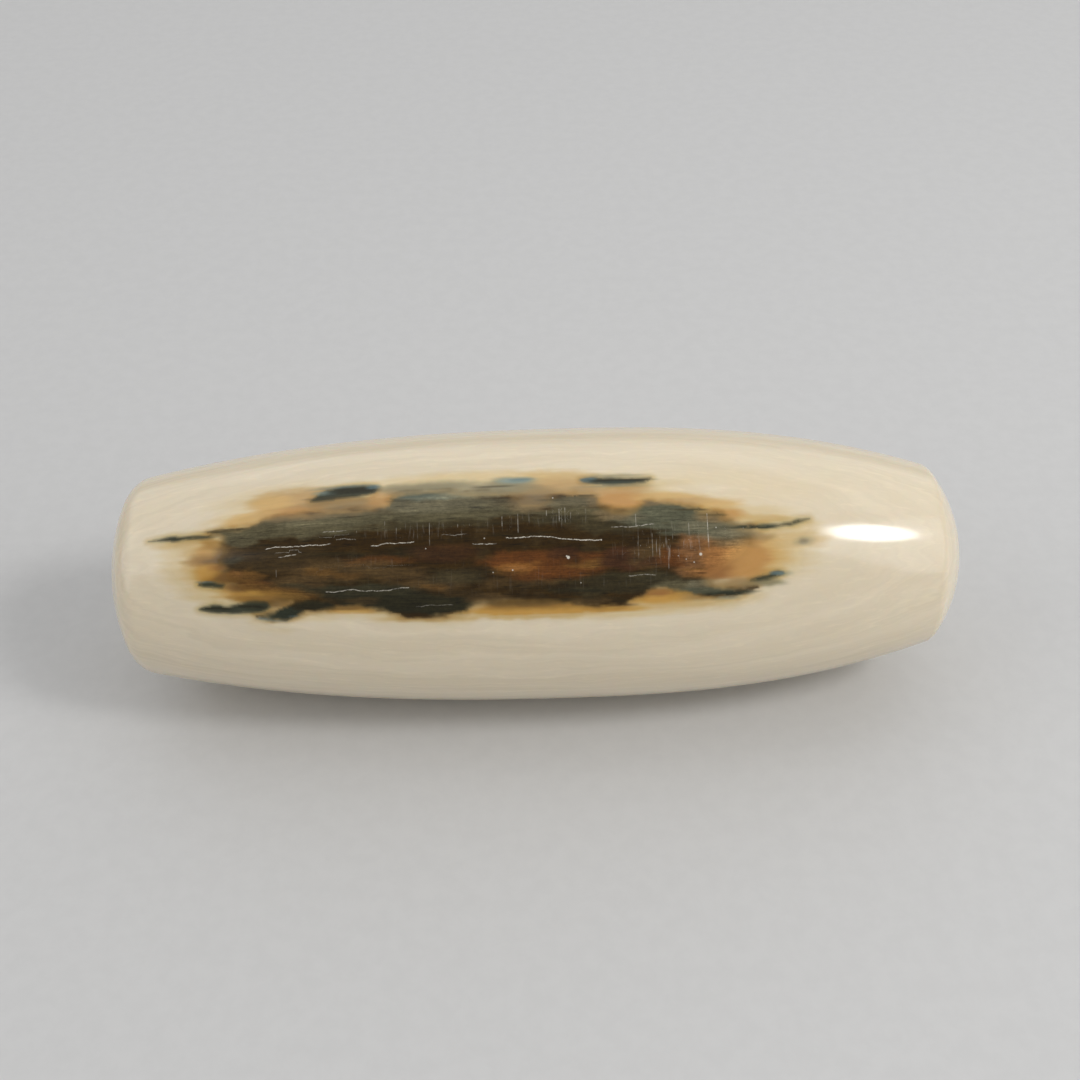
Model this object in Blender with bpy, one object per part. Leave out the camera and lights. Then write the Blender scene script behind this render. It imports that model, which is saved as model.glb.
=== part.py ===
"""A polished barrel bead turned from mammoth ivory, with a patch of the tusk's dark bark left on one side.

The bead is modelled by its tissues, each a solid of its own: the cream ivory body with its stringing
bore, the main cap of bark, and the small islands and veins of bark that lie apart from it.

Frame: +X along the bead and its bore, +Z up as the bead lies, -Y towards whoever looks at the bark.
The origin is under the middle of the bead, on the surface that it rests on.  Sizes below are in
millimetres, and MM turns them into Blender's metres.
"""

from math import asin, atan, cos, pi, radians, sin

import bmesh
import bpy

MM = 0.001

# The turned barrel.
BEAD_LENGTH = 46.0  # from end land to end land
GREATEST_RADIUS = 7.5
WIDEST_X = 1.1  # the belly sits a little towards the right-hand end
LAND_RADIUS = 2.4  # the small flat round the mouth of the bore, where a knot or the next bead bears
BORE_RADIUS = 1.3  # a hand-drilled hole for a 1.5 to 2 mm cord
BORE_CHAMFER = 0.3

# The two ends differ, because each was shaped by hand.  swell is the exponent of the side's curve.
LEFT_END = {"radius": 5.5, "swell": 2.4, "corner": 1.6, "dome_rim": radians(26)}
RIGHT_END = {"radius": 5.0, "swell": 2.6, "corner": 0.9, "dome_rim": radians(37)}

# The bark.  Its underside is the tusk's own surface, nearly flat at this size.
BARK_ELEVATION = 47.5  # degrees from level up to the middle of the bark, on the -Y side
BARK_DEPTH = 0.68  # thickness of the cap under the widest part of the barrel
BARK_SLOPE = atan(0.025)  # the seat rises towards the right-hand end, where the cap runs out sooner

# Bark lying apart from the cap: middle along X, degrees round from the middle of the cap (up the far
# side is positive), length along the bead, width, degrees of slant, and depth.
BARK_ISLANDS = {
    "bark_island_rear_left": {"x": -9.8, "round": 28.8, "size": (3.5, 0.9), "slant": 0, "depth": 0.35},
    "bark_island_rear_right": {"x": 4.3, "round": 28.8, "size": (3.7, 0.6), "slant": 0, "depth": 0.35},
    "bark_island_front_left": {"x": -15.5, "round": -21.7, "size": (3.9, 0.65), "slant": 1, "depth": 0.3},
    "bark_island_front_right": {"x": 11.9, "round": -13.6, "size": (1.9, 0.45), "slant": 7, "depth": 0.3},
    "bark_spot_left": {"x": -16.8, "round": -10.8, "size": (1.5, 0.5), "slant": -9, "depth": 0.3},
    "bark_vein_left": {"x": -18.7, "round": 12.4, "size": (3.0, 0.4), "slant": 1, "depth": 0.25},
    "bark_vein_right": {"x": 12.9, "round": 9.5, "size": (3.0, 0.4), "slant": 8, "depth": 0.25},
}
SEAM = 0.04  # the gap kept between bark and ivory, which on the real bead are grown together

# How finely the round shapes are divided.  The flats round the barrel are wide enough that it stays
# where it is laid.
FACETS = 24
SIDE_STEPS = 26
CORNER_STEPS = 4
DOME_STEPS = 4
ISLAND_ARC_STEPS = 6

FAR = 12.0  # beyond the bead's surface from anywhere inside it


def clear_scene():
    """Remove whatever the scene holds."""
    for old in list(bpy.data.objects):
        bpy.data.objects.remove(old, do_unlink=True)


def principled(name, colour, roughness):
    """A plain Principled material with a linear colour."""
    material = bpy.data.materials.new(name)
    material.use_nodes = True
    shader = material.node_tree.nodes["Principled BSDF"]
    shader.inputs["Base Color"].default_value = (*colour, 1.0)
    shader.inputs["Roughness"].default_value = roughness
    shader.inputs["Metallic"].default_value = 0.0
    material.diffuse_color = (*colour, 1.0)
    return material


def end_outline(end, shoulder_slope):
    """The end from the last of the side to the land: (x, r) points, with x outward from the shoulder."""
    lean = atan(shoulder_slope)
    corner = end["corner"]
    corner_x = -corner * sin(lean)
    corner_r = end["radius"] - corner * cos(lean)
    last_turn = pi / 2 - end["dome_rim"]
    points = []
    for step in range(CORNER_STEPS + 1):
        turn = lean + (last_turn - lean) * step / CORNER_STEPS
        points.append((corner_x + corner * sin(turn), corner_r + corner * cos(turn)))

    rim_x, rim_r = points[-1]
    dome = rim_r / sin(end["dome_rim"])
    dome_centre_x = rim_x - dome * cos(end["dome_rim"])
    land_angle = asin(LAND_RADIUS / dome)
    for step in range(1, DOME_STEPS + 1):
        angle = end["dome_rim"] + (land_angle - end["dome_rim"]) * step / DOME_STEPS
        points.append((dome_centre_x + dome * cos(angle), dome * sin(angle)))
    return points


def shoulder_slope(end, run):
    """How fast the side closes in at the shoulder, which is this far from the widest point."""
    return end["swell"] * (GREATEST_RADIUS - end["radius"]) / run


def shoulder_x(end, side):
    """Where the side would meet its end if the corner were sharp; side is -1 for left and 1 for right."""
    x = side * BEAD_LENGTH / 2
    for _ in range(8):
        reach = end_outline(end, shoulder_slope(end, abs(x - WIDEST_X)))[-1][0]
        x = side * (BEAD_LENGTH / 2 - reach)
    return x


def side_radius(x):
    """The barrel's radius along its side."""
    end = LEFT_END if x < WIDEST_X else RIGHT_END
    shoulder = shoulder_x(end, -1 if x < WIDEST_X else 1)
    share = (x - WIDEST_X) / (shoulder - WIDEST_X)
    return GREATEST_RADIUS - (GREATEST_RADIUS - end["radius"]) * share ** end["swell"]


def barrel_outline():
    """The outside from the left-hand land to the right-hand one, as (x, r) points."""
    left = shoulder_x(LEFT_END, -1)
    right = shoulder_x(RIGHT_END, 1)
    left_points = end_outline(LEFT_END, shoulder_slope(LEFT_END, WIDEST_X - left))
    right_points = end_outline(RIGHT_END, shoulder_slope(RIGHT_END, right - WIDEST_X))
    first_x = left - left_points[0][0]
    last_x = right + right_points[0][0]
    outline = [(left - x, r) for x, r in reversed(left_points)]
    for step in range(1, SIDE_STEPS):
        x = first_x + (last_x - first_x) * step / SIDE_STEPS
        outline.append((x, side_radius(x)))
    outline += [(right + x, r) for x, r in right_points]
    return outline


def bore_outline():
    """The stringing bore and its two chamfered mouths, from right to left."""
    end = BEAD_LENGTH / 2
    mouth = BORE_RADIUS + BORE_CHAMFER
    return [
        (end, mouth),
        (end - BORE_CHAMFER, BORE_RADIUS),
        (-end + BORE_CHAMFER, BORE_RADIUS),
        (-end, mouth),
    ]


def add_object(name, mesh, parent):
    """Link an object that rides on the given empty."""
    made = bpy.data.objects.new(name, mesh)
    bpy.context.scene.collection.objects.link(made)
    made.parent = parent
    return made


def barrel(name, material, parent):
    """The whole bored barrel, turned about X from its outline, with its flats on the true radius."""
    outline = barrel_outline() + bore_outline()
    half_facet = pi / FACETS
    reach = MM / cos(half_facet)
    bm = bmesh.new()
    ring = []
    for x, r in outline:
        ring.append(bm.verts.new((x * MM, r * reach * sin(half_facet), r * reach * cos(half_facet))))
    edges = []
    for here, there in zip(ring, ring[1:] + ring[:1]):
        edges.append(bm.edges.new((here, there)))
    bmesh.ops.spin(
        bm,
        geom=ring + edges,
        cent=(0, 0, 0),
        axis=(1, 0, 0),
        angle=2 * pi,
        steps=FACETS,
        use_merge=True,
    )
    bmesh.ops.recalc_face_normals(bm, faces=bm.faces)
    mesh = bpy.data.meshes.new(name)
    bm.to_mesh(mesh)
    bm.free()
    mesh.materials.append(material)
    mesh.shade_smooth()
    mesh.set_sharp_from_angle(angle=radians(28))
    return add_object(name, mesh, parent)


def prism(name, outline, low, high, parent):
    """A cutter: an outline of (x, y) millimetres, upright between two heights."""
    bm = bmesh.new()
    floor = bm.faces.new([bm.verts.new((x * MM, y * MM, low * MM)) for x, y in outline])
    grown = bmesh.ops.extrude_face_region(bm, geom=[floor])
    risen = [item for item in grown["geom"] if isinstance(item, bmesh.types.BMVert)]
    bmesh.ops.translate(bm, verts=risen, vec=(0, 0, (high - low) * MM))
    bmesh.ops.recalc_face_normals(bm, faces=bm.faces)
    mesh = bpy.data.meshes.new(name)
    bm.to_mesh(mesh)
    bm.free()
    cutter = add_object(name, mesh, parent)
    cutter.hide_render = True
    cutter.display_type = "WIRE"
    return cutter


def cut(target, cutter, operation):
    """Cut the target, or keep only what it shares with the cutter."""
    boolean = target.modifiers.new(cutter.name, "BOOLEAN")
    boolean.operation = operation
    boolean.solver = "EXACT"
    boolean.object = cutter


def bark_cap_cutter(name, lift, parent):
    """Everything above the old surface of the tusk, raised by lift."""
    reach = BEAD_LENGTH
    outline = [(-reach, -FAR), (reach, -FAR), (reach, FAR), (-reach, FAR)]
    low = GREATEST_RADIUS - BARK_DEPTH + lift
    cutter = prism(name, outline, low, low + FAR, parent)
    cutter.rotation_euler.y = -BARK_SLOPE
    return cutter


def island_outline(length, width):
    """A leaf with pointed ends, made of two arcs."""
    half_length = length / 2
    half_width = width / 2
    arc = (half_length**2 + half_width**2) / (2 * half_width)
    half_angle = asin(half_length / arc)
    outline = []
    for side in (1, -1):
        for step in range(ISLAND_ARC_STEPS):
            angle = half_angle * (2 * step / ISLAND_ARC_STEPS - 1)
            outline.append((side * arc * sin(angle), side * (arc * cos(angle) - (arc - half_width))))
    return outline


def island_cutter(name, island, inset, parent):
    """The leaf-shaped plug of bark, sunk to its depth below the barrel's surface."""
    length, width = island["size"]
    outline = island_outline(length - 4 * inset, width - 2 * inset)
    surface = side_radius(island["x"])
    cutter = prism(name, outline, surface - island["depth"] + inset, surface + 1.0, parent)
    cutter.rotation_mode = "ZXY"
    cutter.rotation_euler = (-radians(island["round"]), 0, radians(island["slant"]))
    cutter.location.x = island["x"] * MM
    return cutter


def build():
    """Model the bead and its bark."""
    clear_scene()
    ivory = principled("ivory", (0.74, 0.66, 0.51), 0.14)
    bark = principled("bark", (0.035, 0.024, 0.015), 0.18)

    axis = bpy.data.objects.new("bead_axis", None)
    axis.location.z = GREATEST_RADIUS * MM
    bpy.context.scene.collection.objects.link(axis)
    bark_side = bpy.data.objects.new("bark_side", None)
    bark_side.parent = axis
    bark_side.rotation_euler.x = radians(90 - BARK_ELEVATION)
    bpy.context.scene.collection.objects.link(bark_side)

    body = barrel("ivory_body", ivory, axis)
    cut(body, bark_cap_cutter("bark_seat", 0.0, bark_side), "DIFFERENCE")

    cap = barrel("bark_cap", bark, axis)
    cut(cap, bark_cap_cutter("bark_underside", SEAM, bark_side), "INTERSECT")

    for name, island in BARK_ISLANDS.items():
        cut(body, island_cutter(name + "_pocket", island, 0.0, bark_side), "DIFFERENCE")
        piece = barrel(name, bark, axis)
        cut(piece, island_cutter(name + "_outline", island, SEAM, bark_side), "INTERSECT")


build()
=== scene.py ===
"""Looks of the mammoth-ivory barrel bead: a polished cream barrel with a ragged patch of dark tusk bark.

Every visible piece is a closed solid that stands for the CAD node of the same name.  The bark's pieces
lie flush in seats cut to their own ragged outlines in the ivory.  Lengths below are in millimetres and
angles in degrees; MM turns lengths into Blender's metres.  Places on the barrel are given as (x, turn):
x along the bead from its middle, and turn round it from the line that faces the camera, upwards.
"""

from math import asin, atan, ceil, cos, hypot, pi, radians, sin

import bpy
import numpy as np
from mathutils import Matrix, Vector, noise
from mathutils.geometry import delaunay_2d_cdt


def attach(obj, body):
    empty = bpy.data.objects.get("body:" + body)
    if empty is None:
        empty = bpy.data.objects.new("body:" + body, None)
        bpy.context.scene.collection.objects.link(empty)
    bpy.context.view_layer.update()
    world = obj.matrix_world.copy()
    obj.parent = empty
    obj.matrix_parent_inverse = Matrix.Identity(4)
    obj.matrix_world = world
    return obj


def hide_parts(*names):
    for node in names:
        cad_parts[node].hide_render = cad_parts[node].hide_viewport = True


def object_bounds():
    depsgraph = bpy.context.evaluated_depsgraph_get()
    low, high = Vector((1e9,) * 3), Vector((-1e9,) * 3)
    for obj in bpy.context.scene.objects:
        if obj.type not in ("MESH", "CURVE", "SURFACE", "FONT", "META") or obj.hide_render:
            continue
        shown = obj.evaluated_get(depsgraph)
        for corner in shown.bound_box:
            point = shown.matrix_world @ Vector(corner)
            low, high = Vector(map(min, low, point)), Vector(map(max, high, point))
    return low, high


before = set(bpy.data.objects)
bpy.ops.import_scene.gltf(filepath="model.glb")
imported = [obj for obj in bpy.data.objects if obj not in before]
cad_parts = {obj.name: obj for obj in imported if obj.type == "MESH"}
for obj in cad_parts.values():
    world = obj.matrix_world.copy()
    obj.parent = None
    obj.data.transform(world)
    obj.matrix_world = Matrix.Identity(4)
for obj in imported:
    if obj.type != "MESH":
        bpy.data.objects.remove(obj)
cad_low, cad_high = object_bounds()

MM = 0.001

# The turned barrel, as in the CAD model.
LENGTH = (cad_high[0] - cad_low[0]) / MM
GREATEST_RADIUS = (cad_high[2] - cad_low[2]) / MM / 2
AXIS_HEIGHT = GREATEST_RADIUS
WIDEST_X = 1.1
LAND_RADIUS = 2.4
BORE_RADIUS = 1.3
BORE_CHAMFER = 0.3
LEFT_END = {"radius": 5.5, "swell": 2.4, "corner": 1.6, "dome_rim": radians(26)}
RIGHT_END = {"radius": 5.0, "swell": 2.6, "corner": 0.9, "dome_rim": radians(37)}

# The camera, and the line on the barrel that faces it.
CAMERA_ELEVATION = 41.5
CAMERA_DISTANCE = 83.76
CAMERA_AIM = (0.283, 0.874, 8.488)
CAMERA_ROLL = 1.70
FLOOR_WIDTH = 6.0  # in metres
TURN_ZERO = CAMERA_ELEVATION
BARK_ELEVATION = 47.5  # the way up from level that the tusk's outside faced

# How finely the skin is divided: fine under the bark and its stains, coarse elsewhere.
FINE = {"x": (-20.6, 15.6), "turn": (-33.0, 46.0), "step": 0.1}  # step in millimetres
COARSE_STEP = 0.75
COARSE_TURN = 3.0
EDGE_CLEARANCE = 0.45  # how near an outline a fine point may lie, as a share of the step
SKIN_SCALE = 7.3 * pi / 180  # millimetres of skin to one degree of turn
OUTLINE_STEP = 0.08
END_STEPS = 12

# The bark: how deep its pieces go at their edges and in their middles.
EDGE_DEPTH = 0.06
DEEPEST = 0.62
DEPTH_SLOPE = 0.45


# ---------------------------------------------------------------- outlines of the bark

# Drawn outlines as (x, turn) points.  Each is smoothed, then roughened a little along the fibres.
BARK_OUTLINES = {
    "bark_cap": [
        (-17.0, 20.6), (-16.3, 21.5), (-15.2, 20.7), (-14.6, 21.6), (-14.0, 23.8), (-13.2, 24.9),
        (-11.6, 25.3), (-9.6, 25.6), (-8.2, 25.3), (-7.5, 26.0), (-7.3, 28.4), (-7.2, 31.0),
        (-6.4, 32.0), (-4.6, 32.2), (-3.8, 31.0), (-2.6, 30.6), (-1.3, 29.4), (-0.8, 27.6),
        (-0.5, 25.3), (0.1, 24.9), (0.7, 26.8), (1.1, 28.4), (2.6, 28.3), (3.2, 27.5),
        (3.3, 24.4), (4.0, 21.0), (5.0, 20.2), (5.4, 22.0), (5.9, 24.2), (7.1, 23.8),
        (8.5, 21.6), (8.2, 20.3), (9.5, 18.8), (9.6, 16.8), (10.2, 14.9), (11.1, 14.1),
        (11.1, 13.1), (10.5, 12.2), (10.8, 9.6), (10.9, 6.0), (10.5, 1.5), (9.7, -3.0),
        (8.8, -7.0), (9.0, -10.0), (9.6, -11.6), (10.2, -12.2), (11.3, -11.5), (10.8, -12.9),
        (10.0, -14.6), (9.2, -14.2), (8.0, -13.2), (7.0, -11.4), (6.2, -10.0), (5.6, -11.6),
        (5.0, -14.6), (4.4, -16.2), (3.5, -16.7), (2.7, -16.2), (2.2, -15.0), (1.2, -14.6),
        (0.5, -14.4), (-0.8, -13.9), (-2.0, -13.6), (-2.8, -13.4), (-3.4, -15.6), (-3.9, -17.8),
        (-4.7, -19.0), (-5.7, -19.4), (-6.6, -19.1), (-7.6, -17.0), (-8.4, -15.2), (-9.2, -13.9),
        (-10.0, -14.0), (-10.8, -15.8), (-11.7, -16.4), (-12.3, -18.8), (-13.0, -21.1),
        (-13.8, -20.8), (-14.4, -19.5), (-13.8, -17.9), (-13.0, -15.4), (-12.5, -12.4),
        (-13.3, -10.2), (-14.6, -8.9), (-15.3, -5.8), (-15.9, -1.5), (-16.1, 3.6), (-16.4, 7.0),
        (-16.2, 11.0), (-16.1, 14.0), (-16.3, 18.6),
    ],
    "bark_island_rear_left": [
        (-11.5, 31.2), (-11.3, 33.6), (-10.9, 36.2), (-10.2, 37.5), (-9.2, 37.9), (-8.2, 37.5),
        (-8.2, 34.4), (-8.8, 32.7), (-10.0, 31.9),
    ],
    "bark_island_rear_right": [
        (2.5, 35.7), (3.0, 36.6), (4.4, 36.0), (5.3, 35.9), (6.1, 36.1), (5.7, 33.8), (4.6, 32.8),
        (3.4, 33.4), (2.7, 34.6),
    ],
    "bark_island_front_left": [
        (-17.5, -16.8), (-16.7, -14.2), (-15.9, -14.8), (-14.9, -12.6), (-14.0, -12.4),
        (-13.7, -14.6), (-14.2, -17.2), (-14.9, -17.4), (-16.1, -18.2),
    ],
    "bark_island_front_right": [
        (11.0, -8.7), (11.4, -7.2), (12.0, -5.9), (12.5, -5.3), (12.7, -6.2), (12.4, -7.6),
        (11.8, -8.7),
    ],
    "bark_spot_left": [
        (-17.4, -4.5), (-17.0, -2.9), (-16.4, -3.7), (-16.05, -4.4), (-16.2, -6.3), (-16.7, -5.9),
    ],
    "bark_vein_left": [
        (-20.2, 18.9), (-19.4, 19.6), (-18.8, 20.1), (-18.2, 19.4), (-17.3, 18.9), (-16.9, 18.4),
        (-17.4, 18.1), (-18.1, 17.7), (-18.6, 17.3), (-19.2, 18.1),
    ],
    "bark_vein_right": [
        (11.5, 14.1), (12.3, 14.8), (13.1, 15.7), (13.7, 17.1), (14.2, 17.4), (13.8, 16.5),
        (13.2, 14.5), (12.3, 13.5), (11.5, 13.2),
    ],
}
ROUGH = {"bark_cap": (0.14, 0.05)}  # how far the fibres break an outline: along x and across them
ROUGH_SMALL = (0.05, 0.012)
CURVE_PULL = 0.8  # how round the curve turns at a point; 0 would leave straight sides


def smoothed(points, step):
    """A closed curve through the points, in millimetres of skin, with a point about every step."""
    count = len(points)
    corners = [Vector((x, turn * SKIN_SCALE)) for x, turn in points]
    curve = []
    for i in range(count):
        before, here, there, after = (corners[(i + k) % count] for k in (-1, 0, 1, 2))
        pieces = max(1, ceil((there - here).length / step))
        for k in range(pieces):
            t = k / pieces
            pull_here = (there - before) / 2 * CURVE_PULL
            pull_there = (after - here) / 2 * CURVE_PULL
            curve.append(
                here * (2 * t**3 - 3 * t**2 + 1)
                + pull_here * (t**3 - 2 * t**2 + t)
                + there * (3 * t**2 - 2 * t**3)
                + pull_there * (t**3 - t**2)
            )
    return curve


def broken_by_fibres(curve, along, across):
    """The curve with its points moved the same way wherever they lie on the same fibre."""
    moved = []
    for point in curve:
        x, s = point
        shift = noise.fractal((x * 0.5, s * 3.0, 3.7), 0.8, 2.0, 2)
        ripple = noise.fractal((x * 2.0, s * 1.5, 8.1), 0.7, 2.0, 2)
        moved.append((x + along * shift, s + across * ripple))
    return np.array(moved)


def first_crossing(outline):
    """Two sides of the outline that cross, and where, or None."""
    ends = np.roll(outline, -1, axis=0)
    spans = ends - outline
    count = len(outline)
    for i in range(count - 2):
        later = np.arange(i + 2, count - 1 if i == 0 else count)
        if not len(later):
            continue
        gap = outline[later] - outline[i]
        turn = spans[i][0] * spans[later][:, 1] - spans[i][1] * spans[later][:, 0]
        turn = np.where(np.abs(turn) < 1e-12, 1e-12, turn)
        here = (gap[:, 0] * spans[later][:, 1] - gap[:, 1] * spans[later][:, 0]) / turn
        there = (gap[:, 0] * spans[i][1] - gap[:, 1] * spans[i][0]) / turn
        hits = np.flatnonzero((here > 0) & (here < 1) & (there > 0) & (there < 1))
        if len(hits):
            k = hits[0]
            return i, later[k], outline[i] + here[k] * spans[i]
    return None


def without_crossings(outline):
    """The outline with the small loops cut off where it crosses itself."""
    found = first_crossing(outline)
    while found:
        i, j, crossing = found
        loop = outline[i + 1 : j + 1]
        rest = np.vstack([outline[: i + 1], crossing[None], outline[j + 1 :]])
        outline = rest if len(loop) < len(outline) / 2 else np.vstack([crossing[None], loop])
        found = first_crossing(outline)
    return outline


def bark_outlines():
    """Each bark piece's finished outline, as an array of (x, s) in millimetres of skin."""
    outlines = {}
    for name, points in BARK_OUTLINES.items():
        along, across = ROUGH.get(name, ROUGH_SMALL)
        broken = broken_by_fibres(smoothed(points, OUTLINE_STEP), along, across)
        outlines[name] = without_crossings(broken)
    return outlines


def inside(points, outline):
    """Which of the points lie inside the outline."""
    found = np.zeros(len(points), bool)
    x, y = points[:, 0], points[:, 1]
    ends = np.roll(outline, -1, axis=0)
    for (x0, y0), (x1, y1) in zip(outline, ends):
        if y0 == y1:
            continue
        crosses = (y0 > y) != (y1 > y)
        found ^= crosses & (x < (x1 - x0) * (y - y0) / (y1 - y0) + x0)
    return found


def near_outline(points, outline, reach):
    """The numbers of the points that are in the outline's box, grown by a reach."""
    low, high = outline.min(axis=0) - reach, outline.max(axis=0) + reach
    return np.flatnonzero(np.all((points >= low) & (points <= high), axis=1))


def distance_to(points, outline):
    """The distance from each point to the nearest side of the outline."""
    nearest = np.full(len(points), 1e9)
    for start, end in zip(outline, np.roll(outline, -1, axis=0)):
        span = end - start
        share = np.clip(((points - start) @ span) / max(span @ span, 1e-12), 0, 1)
        gap = points - (start + share[:, None] * span)
        nearest = np.minimum(nearest, np.einsum("ij,ij->i", gap, gap))
    return np.sqrt(nearest)


def signed_distance(points, outline):
    """Millimetres from the outline, positive inside it."""
    gap = distance_to(points, outline)
    return np.where(inside(points, outline), gap, -gap)


# ---------------------------------------------------------------- the barrel's shape


def end_outline(end, shoulder_slope, steps):
    """The end from the last of the side to the land, as (x, r, lean of the normal from square) points."""
    lean = atan(shoulder_slope)
    corner = end["corner"]
    corner_x = -corner * sin(lean)
    corner_r = end["radius"] - corner * cos(lean)
    last_turn = pi / 2 - end["dome_rim"]
    points = []
    for step in range(steps + 1):
        turn = lean + (last_turn - lean) * step / steps
        points.append((corner_x + corner * sin(turn), corner_r + corner * cos(turn), turn))

    rim_x, rim_r, _ = points[-1]
    dome = rim_r / sin(end["dome_rim"])
    dome_centre_x = rim_x - dome * cos(end["dome_rim"])
    land_angle = asin(LAND_RADIUS / dome)
    for step in range(1, steps + 1):
        angle = end["dome_rim"] + (land_angle - end["dome_rim"]) * step / steps
        points.append((dome_centre_x + dome * cos(angle), dome * sin(angle), pi / 2 - angle))
    return points


def shoulder_slope(end, run):
    """How fast the side closes in at the shoulder, which is this far from the widest point."""
    return end["swell"] * (GREATEST_RADIUS - end["radius"]) / run


def shoulder_x(end, side):
    """Where the side would meet its end if the corner were sharp; side is -1 for left and 1 for right."""
    x = side * LENGTH / 2
    for _ in range(8):
        reach = end_outline(end, shoulder_slope(end, abs(x - WIDEST_X)), END_STEPS)[-1][0]
        x = side * (LENGTH / 2 - reach)
    return x


LEFT_SHOULDER = shoulder_x(LEFT_END, -1)
RIGHT_SHOULDER = shoulder_x(RIGHT_END, 1)
LEFT_OUTLINE = end_outline(LEFT_END, shoulder_slope(LEFT_END, WIDEST_X - LEFT_SHOULDER), END_STEPS)
RIGHT_OUTLINE = end_outline(RIGHT_END, shoulder_slope(RIGHT_END, RIGHT_SHOULDER - WIDEST_X), END_STEPS)
FIRST_X = LEFT_SHOULDER - LEFT_OUTLINE[0][0]
LAST_X = RIGHT_SHOULDER + RIGHT_OUTLINE[0][0]


def side_profile(x):
    """The barrel's radius and its slope along the side, for an array of x."""
    left = x < WIDEST_X
    run = np.where(left, LEFT_SHOULDER - WIDEST_X, RIGHT_SHOULDER - WIDEST_X)
    swell = np.where(left, LEFT_END["swell"], RIGHT_END["swell"])
    fall = GREATEST_RADIUS - np.where(left, LEFT_END["radius"], RIGHT_END["radius"])
    share = np.clip((x - WIDEST_X) / run, 0, None)
    radius = GREATEST_RADIUS - fall * share**swell
    slope = -fall * swell * share ** (swell - 1) / run
    return radius, slope


def round_axis(x, turn, radius):
    """Unit vectors straight out from the axis at the turns in degrees, and the points along them."""
    up = np.radians(TURN_ZERO + turn)
    outward = np.stack([np.zeros_like(up), -np.cos(up), np.sin(up)], axis=1)
    points = outward * np.reshape(radius, (-1, 1))
    points[:, 0] = x
    points[:, 2] += AXIS_HEIGHT
    return outward, points


def on_barrel(x, turn, radius, slope):
    """Points in millimetres and unit normals, for arrays of x, turn in degrees, radius and slope."""
    outward, points = round_axis(x, turn, radius)
    normals = outward / np.hypot(1, slope)[:, None]
    normals[:, 0] = -slope / np.hypot(1, slope)
    return points, normals


def skin_grid(outlines):
    """Points of the side's skin as (x, s): fine in the FINE window and coarse outside it, clear of edges."""
    low_x, high_x = FINE["x"]
    low_turn, high_turn = FINE["turn"]
    columns = np.arange(low_x, high_x, FINE["step"])
    rows = np.arange(low_turn, high_turn, FINE["step"] / SKIN_SCALE)
    fine_x, fine_turn = np.meshgrid(columns, rows)
    fine_x[::2] += FINE["step"] / 2
    fine = np.stack([fine_x.ravel(), fine_turn.ravel() * SKIN_SCALE], axis=1)

    count = round((LAST_X - FIRST_X) / COARSE_STEP)
    columns = np.linspace(FIRST_X, LAST_X, count + 1)
    rows = np.arange(-180, 180 + COARSE_TURN / 2, COARSE_TURN)
    coarse_x, coarse_turn = np.meshgrid(columns, rows)
    coarse = np.stack([coarse_x.ravel(), coarse_turn.ravel() * SKIN_SCALE], axis=1)
    margin = COARSE_STEP * 0.4
    hidden = (
        (coarse[:, 0] > low_x - margin / 4)
        & (coarse[:, 0] < high_x + margin)
        & (coarse[:, 1] > low_turn * SKIN_SCALE - margin)
        & (coarse[:, 1] < high_turn * SKIN_SCALE + margin)
    )
    coarse = coarse[~hidden]

    clear = np.ones(len(fine), bool)
    for outline in outlines.values():
        near = near_outline(fine, outline, 2 * FINE["step"])
        clear[near] &= distance_to(fine[near], outline) > FINE["step"] * EDGE_CLEARANCE
    return np.vstack([fine[clear], coarse])


def triangulated(outlines):
    """The side's skin as points and triangles whose edges follow the bark's outlines."""
    grid = skin_grid(outlines)
    points = [Vector(p) for p in grid]
    edges = []
    for outline in outlines.values():
        first = len(points)
        points += [Vector(p) for p in outline]
        edges += [(first + i, first + (i + 1) % len(outline)) for i in range(len(outline))]
    made = delaunay_2d_cdt(points, edges, [], 0, 1e-5)
    skin = np.array([tuple(p) for p in made[0]])
    triangles = np.array([tuple(f) for f in made[2]])
    a, b, c = (skin[triangles[:, k]] for k in range(3))
    area = (b[:, 0] - a[:, 0]) * (c[:, 1] - a[:, 1]) - (b[:, 1] - a[:, 1]) * (c[:, 0] - a[:, 0])
    triangles[area < 0] = triangles[area < 0][:, ::-1]
    return skin, triangles[np.abs(area) > 1e-9]


# ---------------------------------------------------------------- the solids


def boundary_edges(triangles):
    """The directed edges that only one triangle uses."""
    edges = np.vstack([triangles[:, [0, 1]], triangles[:, [1, 2]], triangles[:, [2, 0]]])
    span = edges.max() + 1
    keys = edges[:, 0] * span + edges[:, 1]
    twins = edges[:, 1] * span + edges[:, 0]
    return edges[~np.isin(keys, twins)]


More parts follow.
